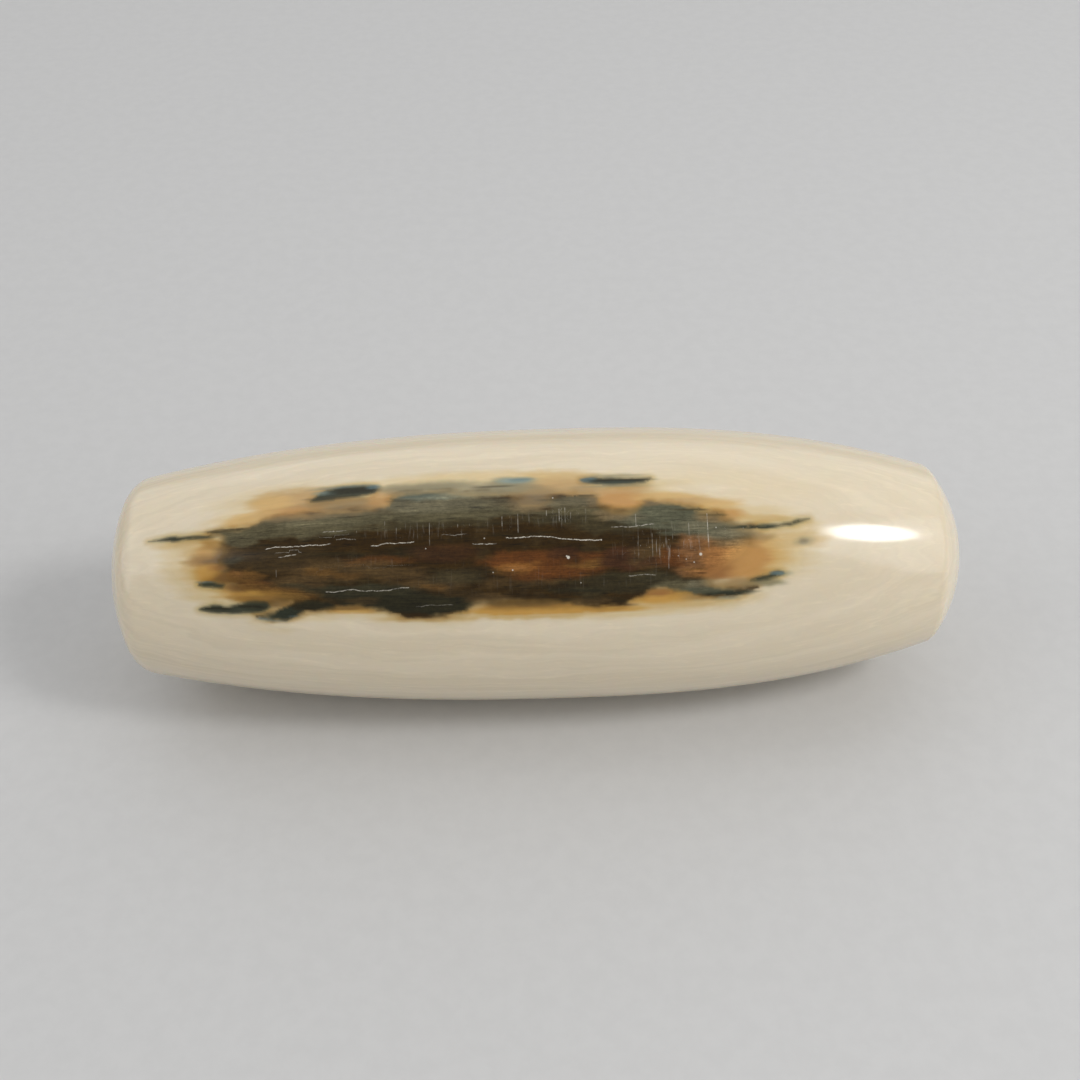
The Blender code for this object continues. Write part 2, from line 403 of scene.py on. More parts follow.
class Solid:
    """Corners and faces of a closed piece, gathered part by part, with a normal for each face corner."""

    def __init__(self):
        self.points = []
        self.normals = []
        self.flat = []
        self.fields = []
        self.faces = []
        self.count = 0

    def add_points(self, points, normals, fields):
        """Add points with their normals and what is painted on them; returns the first one's number."""
        first = self.count
        self.points.append(points)
        self.normals.append(normals)
        self.fields.append(fields)
        self.count += len(points)
        return first

    def add_faces(self, faces, flat=False):
        """Add faces given by point numbers; a flat face is shaded by its own normal."""
        self.faces += [tuple(int(i) for i in face) for face in faces]
        self.flat += [flat] * len(faces)

    def made(self, name):
        """The mesh object, with the points that no face uses left out."""
        used = np.zeros(self.count, bool)
        used[np.concatenate([np.array(face) for face in self.faces])] = True
        number = np.cumsum(used) - 1
        faces = [[int(number[i]) for i in face] for face in self.faces]
        gathered = (self.points, self.normals, self.fields)
        points, normals, fields = (np.vstack(parts)[used] for parts in gathered)

        mesh = bpy.data.meshes.new(name)
        mesh.from_pydata((points * MM).tolist(), [], faces)
        mesh.shade_smooth()
        corner_points = np.zeros(len(mesh.loops), int)
        mesh.loops.foreach_get("vertex_index", corner_points)
        corner_normals = normals[corner_points]
        for polygon, flat in zip(mesh.polygons, self.flat):
            if flat:
                start = polygon.loop_start
                corner_normals[start : start + polygon.loop_total] = polygon.normal
        mesh.normals_split_custom_set(corner_normals.tolist())
        made = bpy.data.objects.new(name, mesh)
        bpy.context.scene.collection.objects.link(made)
        write_attributes(made, points, fields)
        return made


def bark_depths(skin, outlines):
    """How deep the bark goes under each point of the skin: shallow at its edges, deepest in its middle."""
    depth = np.full(len(skin), EDGE_DEPTH)
    for outline in outlines.values():
        near = near_outline(skin, outline, 0)
        gap = np.maximum(signed_distance(skin[near], outline), 0)
        depth[near] = np.maximum(depth[near], EDGE_DEPTH + DEPTH_SLOPE * gap)
    return np.minimum(depth, DEEPEST)


def add_floor_of_seat(solid, triangles, surface, seat, upside_down):
    """The wall round the triangles' edge, from the skin down to the seat, and the seat itself."""
    solid.add_faces((triangles[:, ::-1] if upside_down else triangles) + seat)
    walls = []
    for a, b in boundary_edges(triangles):
        wall = (surface + a, seat + a, seat + b, surface + b)
        walls.append(wall if upside_down else wall[::-1])
    solid.add_faces(walls, flat=True)


def bark_piece(name, points, normals, fields, depth, triangles):
    """One piece of bark: its polished face, a low wall round it, and its rounded underside."""
    solid = Solid()
    surface = solid.add_points(points, normals, fields)
    under = solid.add_points(points - normals * depth[:, None], -normals, fields)
    solid.add_faces(triangles + surface)
    add_floor_of_seat(solid, triangles, surface, under, upside_down=True)
    return solid.made(name)


def ring_points(x, radius, lean, side, turns):
    """A ring round the axis; lean is how far its normals have turned from square on towards the end."""
    outward, points = round_axis(x, turns, radius)
    normals = outward * cos(lean)
    normals[:, 0] = side * sin(lean)
    return points, normals


def band(ring, next_ring, flipped=False):
    """Quads all the way round between two rings that have the same number of points."""
    faces = []
    for k in range(len(ring)):
        after = (k + 1) % len(ring)
        face = (ring[k], next_ring[k], next_ring[after], ring[after])
        faces.append(face[::-1] if flipped else face)
    return faces


def add_rings(solid, profile, first_ring, side, turns):
    """Close the barrel from a ring of its side to inside the bore's mouth; returns the last ring."""
    ring = first_ring
    for x, radius, lean, flat in profile:
        points, normals = ring_points(x, radius, lean, side, turns)
        places = np.stack([points[:, 0], turns * SKIN_SCALE], axis=1)
        first = solid.add_points(points, normals, plain_fields(places))
        next_ring = range(first, first + len(turns))
        solid.add_faces(band(ring, next_ring, flipped=side < 0), flat=flat)
        ring = next_ring
    return ring


def end_profile(outline, shoulder, side):
    """The rings of an end as (x, radius, lean, flat), from its corner to just inside the bore."""
    rings = [(shoulder + side * x, r, lean, False) for x, r, lean in outline[1:]]
    end = side * LENGTH / 2
    rings.append((end, BORE_RADIUS + BORE_CHAMFER, pi / 2, True))
    rings.append((end - side * BORE_CHAMFER, BORE_RADIUS, pi, True))
    return rings


def ivory_body(skin, points, normals, fields, depth, regions):
    """The barrel with its bore, and a seat for each piece of bark."""
    solid = Solid()
    surface = solid.add_points(points, normals, fields)
    seat = solid.add_points(points - normals * depth[:, None], normals, fields)
    solid.add_faces(regions["ivory"] + surface)
    for name, triangles in regions.items():
        if name != "ivory":
            add_floor_of_seat(solid, triangles, surface, seat, upside_down=False)

    turns = np.arange(-180.0, 180.0, COARSE_TURN)
    mouths = []
    for outline, shoulder, side, x in (
        (LEFT_OUTLINE, LEFT_SHOULDER, -1, FIRST_X),
        (RIGHT_OUTLINE, RIGHT_SHOULDER, 1, LAST_X),
    ):
        off_rim = [np.hypot(skin[:, 0] - x, skin[:, 1] - turn * SKIN_SCALE) for turn in turns]
        rim = [int(np.argmin(gap)) for gap in off_rim]
        mouths.append(add_rings(solid, end_profile(outline, shoulder, side), rim, side, turns))
    left_mouth, right_mouth = mouths
    solid.add_faces(band(right_mouth, left_mouth))
    return solid.made("ivory")


def split_regions(skin, triangles, outlines):
    """The triangles of each piece of bark by name, and the rest as the ivory's."""
    middles = skin[triangles].mean(axis=1)
    regions = {}
    left_over = np.ones(len(triangles), bool)
    for name, outline in outlines.items():
        near = near_outline(middles, outline, 0)
        mine = near[inside(middles[near], outline)]
        regions[name] = triangles[mine]
        left_over[mine] = False
    regions["ivory"] = triangles[left_over]
    return regions


def joined_at_seam(skin, triangles):
    """The triangles with the points at the last turn swapped for the same ones at the first."""
    last = np.flatnonzero(skin[:, 1] > (180 - 0.01) * SKIN_SCALE)
    first = np.flatnonzero(skin[:, 1] < (-180 + 0.01) * SKIN_SCALE)
    number = np.arange(len(skin))
    for i in last:
        number[i] = first[np.argmin(np.abs(skin[first, 0] - skin[i, 0]))]
    return number[triangles]


# ---------------------------------------------------------------- colours painted on the skin

# Colours as they look in the studio's light, 0 to 255; albedo() turns them into surface colours.
STUDIO_LIGHT = 0.84  # how much of a white card's light comes back to the camera from the patch
POLISH_SHEEN = 0.007  # what the polish mirrors of the room, which dark places show most
DARKEST = 0.0015
CREAM = (217, 205, 182)
PALE_STRAW = (208, 189, 148)
STRAW = (197, 170, 119)
TAN = (184, 152, 104)
GREY_TAN = (154, 130, 90)
LIGHT_HONEY = (200, 166, 108)
HONEY = (182, 142, 76)
GOLD = (192, 148, 74)
ORANGE = (186, 141, 84)
AMBER = (150, 113, 56)
DARK_AMBER = (112, 86, 46)
SIENNA = (148, 103, 60)
DARK_SIENNA = (124, 88, 57)
RUST = (103, 74, 39)
CHESTNUT = (132, 88, 44)
RED_BROWN = (95, 58, 31)
DARK_RED = (68, 45, 31)
BROWN = (80, 63, 40)
DARK_BROWN = (64, 52, 34)
UMBER = (53, 40, 23)
WARM_GREY = (120, 103, 75)
STONE = (110, 104, 83)
SAGE = (138, 131, 104)
GREY_GREEN = (108, 111, 95)
LIGHT_OLIVE = (103, 97, 75)
OLIVE = (90, 84, 63)
MOSS = (88, 88, 71)
DARK_OLIVE = (66, 60, 43)
BLACK_OLIVE = (54, 52, 39)
GREEN_BLACK = (44, 42, 31)
TEAL_BLACK = (48, 53, 44)
SLATE = (66, 76, 70)
STEEL_BLUE = (92, 112, 116)
PALE_BLUE = (132, 146, 138)
STAINED = (0.89, 0.83, 0.66)  # what the stain round a small piece leaves of the colour under it

OVAL_POWER = 2.3  # of a stroke's outline: 2 would be an ellipse, and more is squarer
PAINTED_LOW, PAINTED_HIGH = (-21.5, -7.0), (17.0, 7.0)  # the stained part of the skin, as (x, s)
NO_BARK = 9.0  # stands for a distance to the bark too great to matter
EDGE_REACH = 1.2  # how far from the bark its distance is still wanted
EDGE_BLUR = 0.14  # half the width of the cap's translucent edge, where it is sharpest
SMALL_BLUR = 0.12  # and of the small pieces' edges
CAP_FEATHER = 0.13  # how far the fibres move the cap's translucent edge
SMALL_FEATHER = 0.07
# Where the cap's edge is softer still: x, turn, length, height, and the extra half width.
SOFT_EDGES = [
    (10.4, 3.0, 3.4, 26.0, 0.75),
    (-16.0, 8.0, 2.6, 20.0, 0.32),
    (-11.0, 26.0, 8.0, 8.0, 0.12),
    (-5.5, 33.5, 5.0, 6.0, 0.25),
    (-2.0, 31.0, 4.0, 6.0, 0.25),
    (0.0, 27.0, 2.4, 8.0, 0.40),
    (4.2, 22.0, 2.6, 8.0, 0.25),
    (9.4, 18.0, 2.6, 6.0, 0.25),
    (-14.3, -8.0, 4.6, 8.0, 0.45),
    (-1.0, -14.0, 5.6, 4.0, 0.18),
    (8.6, -7.5, 2.0, 6.0, 0.45),
]

# Stains in the ivory round the bark: colour, x, turn, length in mm, height in degrees, strength, and
# softness where it isn't 1.
IVORY_STAINS = [
    (PALE_STRAW, -11.8, 33.2, 8.4, 16.0, 0.85),
    (TAN, -11.7, 32.4, 5.4, 13.0, 0.95, 0.9),
    (LIGHT_HONEY, -13.6, 33.0, 2.2, 8.4, 0.9, 1.1),
    (GREY_TAN, -9.8, 28.4, 5.2, 6.4, 1.0, 0.9),
    (WARM_GREY, -9.2, 26.8, 3.2, 3.0, 0.6, 1.1),
    (ORANGE, -7.8, 30.4, 1.6, 9.0, 0.7),
    (ORANGE, -12.8, 27.0, 3.6, 4.6, 0.8),
    (SIENNA, -13.6, 26.0, 2.0, 2.6, 0.6, 1.1),
    (PALE_STRAW, -15.4, 25.0, 2.4, 7.0, 0.8),
    (LIGHT_HONEY, -15.1, 24.2, 2.0, 4.6, 0.9),
    (LIGHT_HONEY, -14.2, 26.4, 2.4, 5.4, 0.8, 1.1),
    (PALE_STRAW, -3.6, 37.4, 9.4, 8.6, 1.0),
    (SAGE, -5.0, 35.0, 4.4, 5.0, 0.65, 1.2),
    (GREY_TAN, -7.0, 33.6, 1.4, 3.0, 0.7),
    (STRAW, 0.9, 36.0, 4.4, 9.5, 0.9, 0.9),
    (TAN, 1.5, 32.2, 3.4, 9.0, 0.9, 0.9),
    (GREY_TAN, 2.8, 30.6, 2.2, 3.6, 0.8),
    (SAGE, -1.5, 33.0, 3.0, 6.0, 0.8),
    (GREY_TAN, 0.0, 29.6, 2.4, 6.6, 1.0),
    (WARM_GREY, 0.0, 26.8, 2.0, 4.6, 0.95),
    (PALE_STRAW, 9.0, 32.0, 11.0, 18.0, 0.3, 1.4),
    (PALE_STRAW, 6.2, 30.0, 4.4, 9.0, 0.9),
    (TAN, 4.4, 30.2, 3.6, 5.4, 0.85, 0.9),
    (ORANGE, 4.4, 25.0, 3.0, 9.5, 0.95, 0.8),
    (WARM_GREY, 4.4, 20.4, 2.4, 3.0, 0.7, 1.2),
    (LIGHT_HONEY, 7.0, 26.8, 3.4, 4.6, 0.85),
    (TAN, 7.8, 24.4, 2.6, 4.0, 0.85),
    (LIGHT_HONEY, 9.4, 22.6, 2.6, 6.0, 0.85),
    (PALE_STRAW, 11.4, 19.8, 3.6, 6.6, 0.7, 1.1),
    (ORANGE, 9.9, 18.8, 1.8, 5.0, 0.85),
    (STRAW, 11.6, 17.4, 2.8, 3.6, 0.8),
    (PALE_STRAW, 12.0, 2.0, 4.6, 20.0, 0.9, 0.9),
    (LIGHT_HONEY, 11.5, 2.0, 2.9, 18.0, 0.95),
    (STRAW, 13.7, 8.4, 2.4, 8.0, 0.7, 1.2),
    (PALE_STRAW, 13.9, 14.4, 2.0, 5.0, 0.8, 1.1),
    (ORANGE, 10.7, 0.0, 2.6, 16.0, 0.95, 0.9),
    (GREY_TAN, 11.3, 9.4, 1.8, 4.0, 0.8),
    (GREY_TAN, 10.6, -9.6, 2.2, 4.0, 0.8),
    (SAGE, 11.7, -10.2, 2.0, 3.4, 0.8, 1.1),
    (PALE_STRAW, 2.6, -19.8, 12.0, 3.8, 0.8, 0.8),
    (STRAW, -0.2, -19.0, 7.0, 4.4, 0.9, 0.5),
    (GOLD, 0.2, -17.4, 7.6, 4.2, 0.95, 0.5),
    (AMBER, -0.4, -15.8, 5.0, 3.0, 0.8, 0.8),
    (DARK_AMBER, 0.0, -14.6, 4.8, 2.8, 0.95, 0.8),
    (GOLD, 3.9, -17.8, 3.8, 2.8, 0.9, 0.8),
    (STRAW, 7.4, -16.4, 5.0, 4.6, 0.85, 0.9),
    (GOLD, 6.5, -13.6, 3.6, 5.6, 0.95, 0.9),
    (GREY_TAN, 8.6, -14.4, 2.6, 2.6, 0.8, 1.1),
    (SIENNA, 6.1, -11.8, 1.7, 3.2, 0.85, 0.8),
    (GOLD, -9.4, -16.2, 3.2, 2.4, 0.8, 0.9),
    (DARK_AMBER, -9.6, -14.6, 2.6, 2.8, 0.9, 0.8),
    (STRAW, -5.8, -20.2, 4.8, 2.4, 0.8, 0.9),
    (PALE_STRAW, -17.9, 6.0, 2.8, 27.0, 0.8),
    (STRAW, -17.2, 7.0, 2.0, 25.0, 0.9, 0.9),
    (HONEY, -16.8, 5.4, 1.6, 22.0, 0.9, 0.9),
    (STRAW, -18.7, 15.6, 2.4, 5.0, 0.75, 1.1),
    (AMBER, -17.0, 7.2, 2.0, 4.4, 1.0, 1.1),
    (DARK_AMBER, -16.7, 6.6, 1.2, 2.0, 0.7, 1.1),
    (AMBER, -16.6, 14.6, 1.2, 5.0, 0.6, 1.1),
    (AMBER, -16.2, -1.6, 1.6, 9.0, 0.95),
    (GOLD, -16.9, 1.0, 1.2, 6.0, 0.6, 1.1),
    (PALE_STRAW, -16.4, -8.6, 3.6, 9.0, 0.9),
    (HONEY, -15.2, -8.0, 2.8, 6.4, 0.9, 0.9),
    (AMBER, -14.2, -9.8, 3.0, 6.4, 0.95, 0.8),
    (DARK_AMBER, -13.2, -12.6, 1.7, 5.4, 0.8, 0.9),
]

# Zones of the bark, laid over its dark core in the same way.
BARK_ZONES = [
    (OLIVE, -12.4, 20.0, 9.6, 9.6, 0.95, 0.6),
    (OLIVE, -15.2, 16.4, 2.2, 8.0, 0.9, 0.6),
    (WARM_GREY, -11.0, 24.4, 5.6, 3.6, 0.9, 0.8),
    (LIGHT_OLIVE, -10.6, 21.4, 5.0, 4.0, 0.7, 0.9),
    (OLIVE, -4.8, 22.0, 10.0, 6.4, 0.95, 0.8),
    (LIGHT_OLIVE, -4.9, 26.4, 6.0, 7.4, 0.95, 0.6),
    (GREY_GREEN, -5.4, 31.0, 4.4, 5.0, 0.9, 0.8),
    (SLATE, -5.4, 31.2, 3.4, 2.0, 0.5),
    (SAGE, -2.6, 30.4, 3.6, 3.0, 0.85),
    (OLIVE, -2.4, 25.6, 3.0, 6.0, 0.7, 0.8),
    (DARK_OLIVE, -5.4, 18.0, 8.0, 3.2, 0.7, 0.9),
    (WARM_GREY, -0.2, 24.6, 2.2, 6.0, 0.85),
    (LIGHT_OLIVE, 1.7, 25.4, 3.4, 5.4, 0.8, 0.7),
    (OLIVE, 2.4, 21.4, 3.8, 4.4, 0.85, 0.7),
    (DARK_OLIVE, 1.4, 18.4, 3.6, 3.6, 0.9, 0.9),
    (WARM_GREY, 3.2, 25.6, 0.9, 5.0, 0.7),
    (DARK_OLIVE, 3.8, 15.6, 3.6, 7.0, 0.8, 0.9),
    (MOSS, 6.9, 19.4, 5.0, 11.6, 0.95, 0.7),
    (STONE, 4.8, 18.2, 2.0, 4.0, 0.8),
    (WARM_GREY, 3.9, 19.4, 2.0, 4.6, 0.8, 1.1),
    (WARM_GREY, 5.9, 24.2, 1.2, 2.4, 0.8, 1.1),
    (MOSS, 8.8, 13.0, 3.8, 7.6, 0.9, 0.7),
    (STONE, 8.7, 14.6, 2.4, 5.0, 0.7),
    (WARM_GREY, 9.2, 18.2, 1.7, 4.4, 0.9),
    (STONE, 10.5, 11.8, 2.0, 4.4, 0.85),
    (DARK_BROWN, -13.4, 6.0, 5.6, 12.0, 0.7),
    (BROWN, -15.8, 11.4, 1.8, 3.4, 0.8, 1.1),
    (BROWN, -10.0, 0.4, 5.6, 8.8, 0.95, 0.8),
    (RUST, -9.8, -1.8, 1.8, 2.6, 0.6),
    (RUST, -11.0, -0.8, 1.8, 4.4, 0.7),
    (RED_BROWN, -7.8, 4.2, 3.0, 3.6, 0.6, 1.1),
    (BROWN, -8.6, 2.4, 3.0, 3.0, 0.6, 1.1),
    (DARK_RED, -4.6, 6.0, 3.0, 7.0, 0.6),
    (BROWN, -7.0, -1.6, 3.0, 5.0, 0.85, 0.9),
    (BROWN, -5.3, -5.8, 3.0, 5.0, 1.0, 0.8),
    (RUST, -5.3, -7.0, 1.4, 2.6, 0.6),
    (DARK_OLIVE, -4.0, -3.4, 3.0, 6.0, 0.7),
    (BROWN, -12.4, -4.4, 4.0, 6.4, 0.95, 0.8),
    (RED_BROWN, -14.4, -4.4, 1.8, 2.6, 0.6),
    (DARK_OLIVE, -12.4, -5.4, 1.8, 1.6, 0.7),
    (SLATE, -15.7, 6.4, 1.2, 2.6, 0.3, 1.2),
    (RUST, -15.1, -1.0, 2.0, 6.0, 0.95, 0.8),
    (SIENNA, -15.7, 0.4, 1.0, 3.4, 0.45, 1.3),
    (RUST, -14.5, -6.4, 3.4, 4.6, 0.95, 0.8),
    (RUST, -12.6, -9.4, 2.4, 4.4, 0.9, 0.8),
    (BLACK_OLIVE, -9.0, -8.6, 5.8, 6.0, 0.9, 0.7),
    (GREEN_BLACK, -6.4, -14.0, 8.6, 8.2, 0.95, 0.6),
    (BROWN, -9.0, -12.4, 1.8, 2.6, 0.6),
    (GREEN_BLACK, -11.6, -14.4, 2.0, 5.0, 0.9, 0.8),
    (TEAL_BLACK, -13.1, -18.4, 2.6, 6.0, 0.9, 0.8),
    (RED_BROWN, -0.8, 2.8, 4.4, 6.6, 0.95, 0.8),
    (DARK_RED, 1.4, 4.4, 1.9, 4.6, 0.8),
    (CHESTNUT, -0.7, -0.3, 2.3, 3.8, 0.95, 0.8),
    (SIENNA, -0.9, -0.6, 1.2, 1.6, 0.6),
    (RUST, -0.6, -3.0, 3.0, 2.2, 0.7),
    (RED_BROWN, 2.0, -1.2, 4.0, 5.4, 0.85, 0.9),
    (RED_BROWN, 0.8, -3.8, 4.0, 4.0, 0.8),
    (BROWN, 0.2, -6.4, 2.4, 2.8, 0.6),
    (RUST, 2.4, -0.3, 1.8, 2.4, 0.7),
    (RED_BROWN, 3.0, 3.0, 1.9, 5.4, 0.9, 0.9),
    (RUST, 3.2, 0.8, 1.7, 4.0, 0.8),
    (DARK_RED, 4.7, 1.8, 2.4, 9.4, 0.95, 0.8),
    (BROWN, 6.2, 3.0, 2.2, 11.0, 0.8),
    (DARK_RED, 6.4, 0.0, 1.8, 4.4, 0.6),
    (RED_BROWN, 7.2, 2.0, 1.6, 9.0, 0.85),
    (DARK_SIENNA, 8.2, 3.0, 1.8, 12.0, 0.9, 0.9),
    (DARK_SIENNA, 8.1, 8.2, 1.9, 5.4, 0.85),
    (SIENNA, 9.2, 0.6, 1.9, 13.0, 0.95, 0.9),
    (ORANGE, 10.4, 0.0, 1.8, 16.0, 0.85),
    (BLACK_OLIVE, 4.6, -8.0, 6.0, 8.0, 0.6, 0.9),
    (DARK_SIENNA, 7.9, -3.6, 1.8, 3.6, 0.8),
    (OLIVE, 7.2, -9.4, 2.4, 4.4, 0.9, 0.8),
    (DARK_OLIVE, 5.8, -5.6, 2.4, 3.6, 0.8),
    (STONE, 8.4, -9.2, 1.5, 3.4, 0.8),
    (MOSS, 8.6, -12.0, 3.0, 2.8, 0.9, 0.8),
    (BROWN, 2.9, -14.4, 2.2, 3.0, 0.7),
    (BROWN, -2.5, -11.8, 2.2, 3.4, 0.9, 0.9),
    (BROWN, -2.0, -6.4, 1.8, 3.6, 0.7),
]

# Stains that cross from the bark into the ivory, laid over both.
CROSSING_STAINS = [
    (SIENNA, 9.6, 1.0, 1.8, 12.0, 0.8, 1.2),
    (ORANGE, 10.8, 0.6, 2.2, 15.0, 0.85, 1.1),
    (WARM_GREY, 9.9, 7.2, 1.8, 3.2, 0.6, 1.2),
    (STONE, 9.8, 10.2, 2.8, 3.6, 0.75, 1.1),
    (SAGE, 11.9, -9.8, 1.4, 2.8, 0.6, 1.2),
    (GREY_TAN, 9.9, -9.0, 1.8, 3.4, 0.6, 1.2),
    (SIENNA, 8.9, -4.6, 2.2, 5.0, 0.8, 1.1),
    (RUST, -16.0, -1.6, 1.2, 5.0, 0.7, 1.2),
    (SIENNA, -16.4, 3.6, 0.9, 2.4, 0.5, 1.2),
    (DARK_AMBER, -16.1, 10.5, 0.9, 6.0, 0.5, 1.2),
    (RUST, -14.6, -6.4, 2.4, 3.6, 0.5, 1.2),
    (AMBER, -14.2, -9.4, 3.0, 4.4, 0.8, 1.1),
    (GOLD, -15.0, -8.6, 1.6, 2.6, 0.6, 1.2),
    (RUST, -15.4, -6.0, 1.6, 3.6, 0.6, 1.2),
    (DARK_AMBER, -12.7, -10.8, 1.6, 4.4, 0.6, 1.2),
    (WARM_GREY, -0.2, 25.8, 1.8, 3.0, 0.6, 1.2),
    (DARK_AMBER, -0.6, -14.0, 3.4, 2.0, 0.5, 1.2),
]

# Blue and dark touches on the small pieces and thin edges: colour, then as for the stains.
EDGE_TOUCHES = [
    (DARK_OLIVE, 2.0, 28.0, 2.3, 0.8, 0.8),
    (DARK_OLIVE, -15.9, 20.9, 2.2, 1.0, 0.85),
    (OLIVE, -17.1, 18.2, 1.4, 1.6, 0.7, 1.2),
    (DARK_OLIVE, 8.0, 21.3, 1.6, 0.8, 0.7),
    (DARK_OLIVE, 9.2, 18.9, 1.4, 0.8, 0.5),
    (TEAL_BLACK, 11.1, 13.5, 2.2, 1.4, 0.85, 0.9),
    (DARK_OLIVE, -6.8, 28.8, 1.4, 0.8, 0.5),
    (DARK_OLIVE, 0.9, 26.6, 1.4, 0.7, 0.5),
    (UMBER, 3.9, -16.2, 2.4, 0.9, 0.7),
    (RUST, 8.0, -3.4, 1.4, 0.8, 0.6),
    (GREEN_BLACK, -9.3, 35.6, 2.3, 3.2, 0.9, 0.9),
    (STEEL_BLUE, -9.9, 37.9, 2.6, 1.4, 0.5, 1.3),
    (SLATE, -10.6, 35.0, 0.9, 2.4, 0.5),
    (DARK_OLIVE, -10.5, 32.6, 2.4, 1.6, 0.6),
    (PALE_BLUE, -11.0, 35.6, 0.9, 2.2, 0.55, 1.3),
    (STEEL_BLUE, -8.3, 36.8, 0.7, 2.0, 0.8, 1.2),
    (STEEL_BLUE, 2.85, 35.5, 0.8, 2.2, 0.9, 1.1),
    (SAGE, 4.2, 37.4, 3.0, 1.8, 0.6, 1.3),
    (GREEN_BLACK, 4.4, 35.0, 3.0, 1.4, 0.9, 0.9),
    (SLATE, 4.2, 34.0, 2.8, 1.4, 0.4),
    (SAGE, 4.3, 32.4, 3.2, 1.4, 0.6, 1.2),
    (SAGE, -1.0, 35.0, 2.2, 5.4, 0.7, 1.2),
    (PALE_BLUE, -0.9, 36.4, 1.7, 3.0, 1.0, 1.2),
    (STEEL_BLUE, -0.6, 36.8, 1.1, 1.6, 0.5, 1.2),
    (DARK_OLIVE, -2.0, 33.8, 2.0, 0.5, 0.6),
    (GREEN_BLACK, -16.5, -15.9, 1.3, 1.3, 0.8),
    (GREEN_BLACK, -14.7, -14.6, 1.5, 2.0, 0.7),
    (GREEN_BLACK, -18.8, 18.8, 1.0, 1.0, 0.7),
    (STEEL_BLUE, -14.1, -20.2, 0.7, 1.0, 0.6, 1.2),
    (PALE_BLUE, -13.6, -21.2, 1.0, 0.8, 0.4, 1.2),
    (STEEL_BLUE, -12.4, -19.0, 0.6, 0.8, 0.4, 1.2),
    (TEAL_BLACK, 9.8, -13.4, 2.6, 1.8, 0.85, 0.9),
    (PALE_BLUE, 9.8, -15.2, 1.2, 1.4, 0.5, 1.2),
    (STEEL_BLUE, 12.4, -6.0, 0.7, 1.6, 0.8, 1.1),
    (PALE_BLUE, 12.8, -6.2, 0.7, 2.0, 0.4, 1.4),
    (STEEL_BLUE, -17.1, -3.2, 0.8, 1.0, 0.6, 1.2),
    (SAGE, 13.8, 7.2, 0.9, 3.6, 0.5, 1.4),
    (STONE, 13.8, 7.2, 0.4, 2.0, 0.5, 1.4),
]
# Laid over the amber rim: clean ivory right up to the bark, and sage where the rim is washed out.
OVER_RIM = [
    (SAGE, -5.5, 34.6, 4.6, 3.6, 0.8, 1.1),
    (SAGE, -2.2, 32.2, 3.8, 3.4, 0.75, 1.1),
    (CREAM, -9.4, -23.4, 12.0, 3.8, 0.8, 0.9),
    (CREAM, -17.2, 23.6, 1.8, 2.8, 0.5, 1.2),
    (CREAM, -16.0, -20.6, 3.0, 3.6, 0.7, 0.9),
    (CREAM, -9.6, 41.6, 4.0, 3.6, 0.7, 0.9),
    (CREAM, 12.0, -12.5, 2.6, 3.6, 0.6),
    (CREAM, 8.6, 31.0, 4.0, 4.0, 0.6),
]


def albedo(colour):
    """A surface's linear colour, from the colour that it shows in the studio's light."""
    shown = np.asarray(colour, float) / 255
    linear = np.where(shown <= 0.04045, shown / 12.92, ((shown + 0.055) / 1.055) ** 2.4)
    return np.maximum(linear - POLISH_SHEEN, DARKEST) / STUDIO_LIGHT


def smooth_step(low, high, value):
    """0 below low, 1 above high, and smooth between; low may be the greater."""
    share = np.clip((value - low) / (high - low), 0, 1)
    return share * share * (3 - 2 * share)


def noise_at(skin, across_x, across_s, seed, octaves):
    """Fractal noise over the skin, with that many features to a millimetre each way."""
    return np.array(
        [noise.fractal((x * across_x, s * across_s, seed), 0.8, 2.0, octaves) for x, s in skin]
    )


class Painted:
    """Colours at points of the skin, brushed on one over another with edges drawn out along the fibres."""

    def __init__(self, skin, ground, ragged):
        self.x = skin[:, 0]
        self.turn = skin[:, 1] / SKIN_SCALE
        self.fibre_ends = noise_at(skin, 0.22, 2.4, 1.3, 3)
        self.ripple = noise_at(skin, 0.9, 1.1, 5.9, 3)
        self.grain = noise_at(skin, 0.7, 4.5, 9.4, 4)
        self.feather = noise_at(skin, 0.9, 2.6, 2.2, 3)
        self.ragged = ragged
        self.colour = np.tile(np.asarray(ground, float), (len(skin), 1))

    def lay(self, colour, weight):
        """Lay a colour on, by a weight at each point."""
        share = np.clip(weight, 0, 1)[:, None]
        self.colour = self.colour + (np.asarray(colour, float) - self.colour) * share

    def brush(self, colour, x, turn, length, height, strength, softness=1.0):
        """Lay on one soft oval, with its ends broken by the fibres."""
        torn = 0.22 * self.ragged * min(3.0, length)
        bent = 0.25 * self.ragged * min(4.0, height)
        along = (self.x - x + torn * self.fibre_ends) / (length / 2)
        across = (self.turn - turn + bent * self.ripple) / (height / 2)
        far = (np.abs(along) ** OVAL_POWER + np.abs(across) ** OVAL_POWER) ** (1 / OVAL_POWER)
        soft = softness * (0.65 - 0.25 * self.ragged)
        weight = smooth_step(1 + soft, 1 - soft, far + 0.22 * self.ragged * self.grain)
        self.lay(colour, weight * strength)

    def brush_all(self, strokes):
        """Lay on a list of strokes, in its order."""
        for stroke in strokes:
            self.brush(*stroke)


def plain_fields(skin):
    """Fields for points of plain ivory: (x, s), its colour, and their distance into the bark."""
    colour = np.tile(albedo(CREAM), (len(skin), 1))
    return np.column_stack([skin, colour, np.full(len(skin), -NO_BARK)])


def distance_into(skin, outlines):
    """Millimetres into the nearest of the outlines at each point of the skin, negative outside."""
    into = np.full(len(skin), -NO_BARK)
    for outline in outlines:
        near = near_outline(skin, outline, EDGE_REACH)
        into[near] = np.maximum(into[near], signed_distance(skin[near], outline))
    return into


